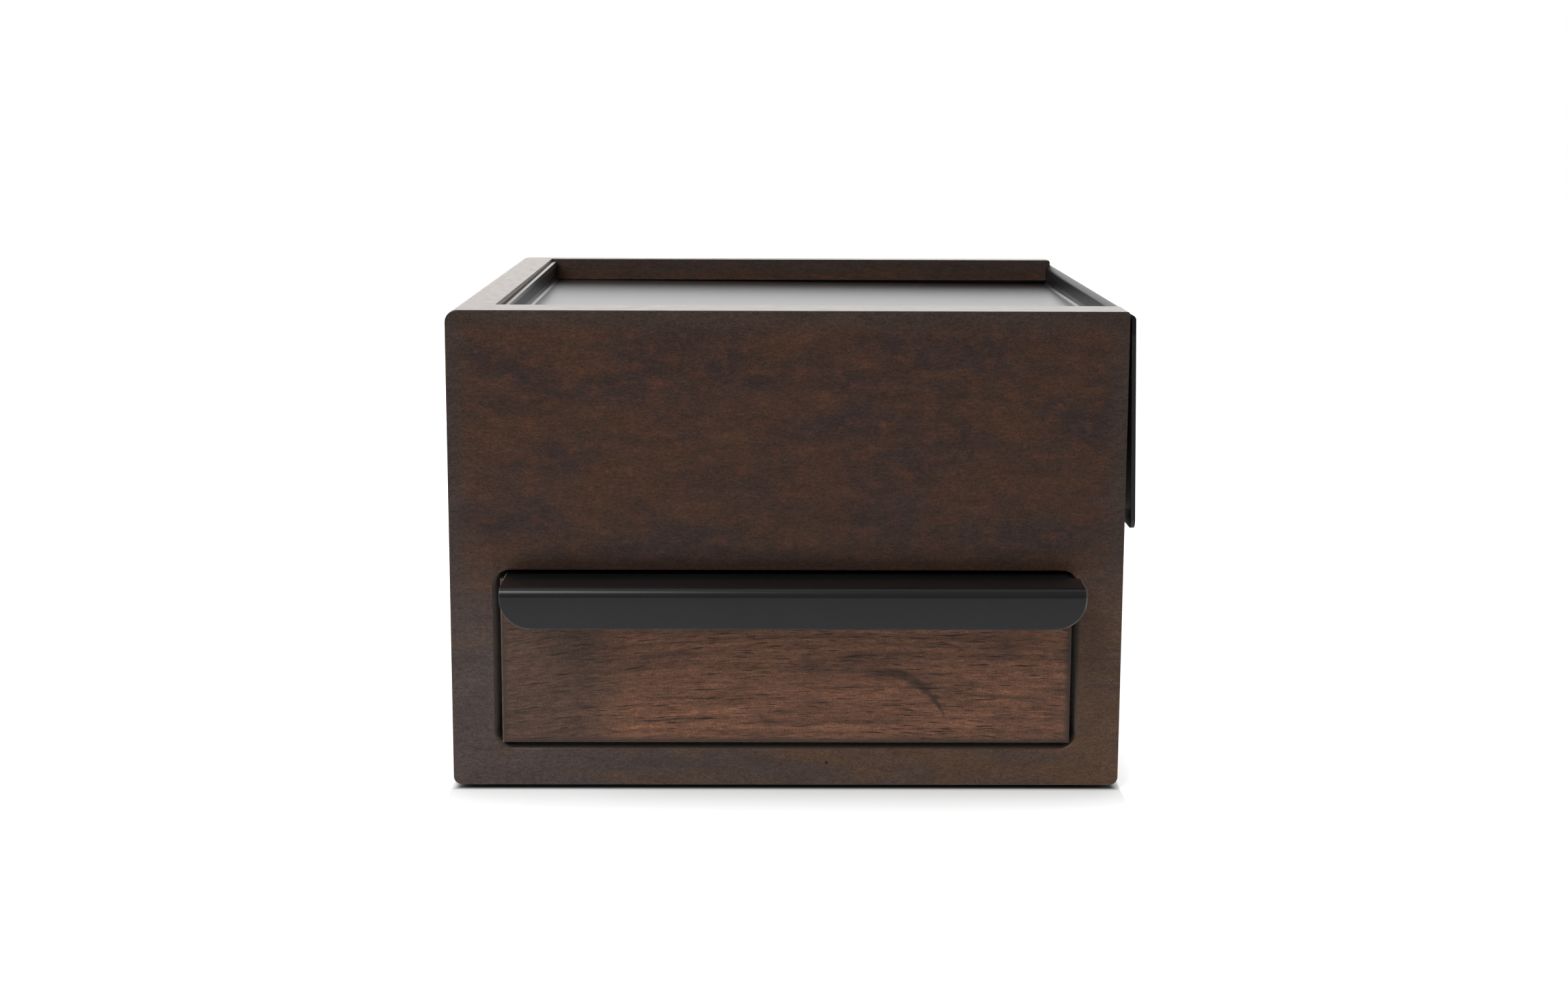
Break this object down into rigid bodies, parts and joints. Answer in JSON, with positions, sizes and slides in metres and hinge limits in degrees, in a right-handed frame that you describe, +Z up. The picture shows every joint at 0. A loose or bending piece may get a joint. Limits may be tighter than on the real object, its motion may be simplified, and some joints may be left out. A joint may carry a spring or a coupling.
{
  "type": "ring box with drawer",
  "caption": "Stained wooden ring box with a sliding black steel tray lid over a lined ring compartment and a lined drawer with a folded steel pull.",
  "frame": {"origin": "on the ground, under the centre of the whole box with its pull and lid panel", "axes": "+X to the right seen from the front, the way the lid opens; -Y to the front, the way the drawer opens; +Z up"},
  "size_m": [0.1656, 0.16, 0.1182],
  "materials": {
    "case_wood": "espresso stain under satin lacquer",
    "drawer_front_wood": "brown stain with open pores, satin lacquer",
    "board_wood": "stained board, matt",
    "drawer_box_wood": "stained, matt",
    "black_steel": "satin black powder coat",
    "black_screw": "blackened steel",
    "foot_rubber": "matt black",
    "runner_nylon": "natural nylon",
    "felt": "black felt",
    "linen_board": "natural linen on board",
    "roll_linen": "natural linen over foam"
  },
  "bodies": {
    "case": {"back_panel": "case_wood", "base_board": "board_wood", "compartment_lining_back": "linen_board", "compartment_lining_floor": "linen_board", "compartment_lining_front": "linen_board", "compartment_lining_left": "linen_board", "compartment_lining_right": "linen_board", "drawer_bumpers": "felt", "foot_back_left": "foot_rubber", "foot_back_right": "foot_rubber", "foot_front_left": "foot_rubber", "foot_front_right": "foot_rubber", "front_panel": "case_wood", "left_wall": "case_wood", "panel_bumpers": "felt", "right_wall": "case_wood", "ring_divider": "linen_board", "ring_roll_1": "roll_linen", "ring_roll_2": "roll_linen", "ring_roll_3": "roll_linen", "ring_roll_4": "roll_linen", "ring_roll_5": "roll_linen", "ring_roll_6": "roll_linen", "ring_roll_7": "roll_linen", "runner_left": "runner_nylon", "runner_right": "runner_nylon", "shelf_board": "board_wood"},
    "lid": {"lid_tray": "black_steel"},
    "drawer": {"drawer_back": "drawer_box_wood", "drawer_bottom": "drawer_box_wood", "drawer_front": "drawer_front_wood", "drawer_lining_back": "linen_board", "drawer_lining_floor": "linen_board", "drawer_lining_front": "linen_board", "drawer_lining_left": "linen_board", "drawer_lining_right": "linen_board", "drawer_pull": "black_steel", "drawer_side_left": "drawer_box_wood", "drawer_side_right": "drawer_box_wood", "pull_screws": "black_screw"}
  },
  "joints": [
    {"name": "drawer_slide", "type": "slide", "parent": "case", "child": "drawer", "axis": [0, -1, 0], "range_m": [0, 0.1]},
    {"name": "lid_slide", "type": "slide", "parent": "case", "child": "lid", "axis": [1, 0, 0], "range_m": [0, 0.12]}
  ]
}
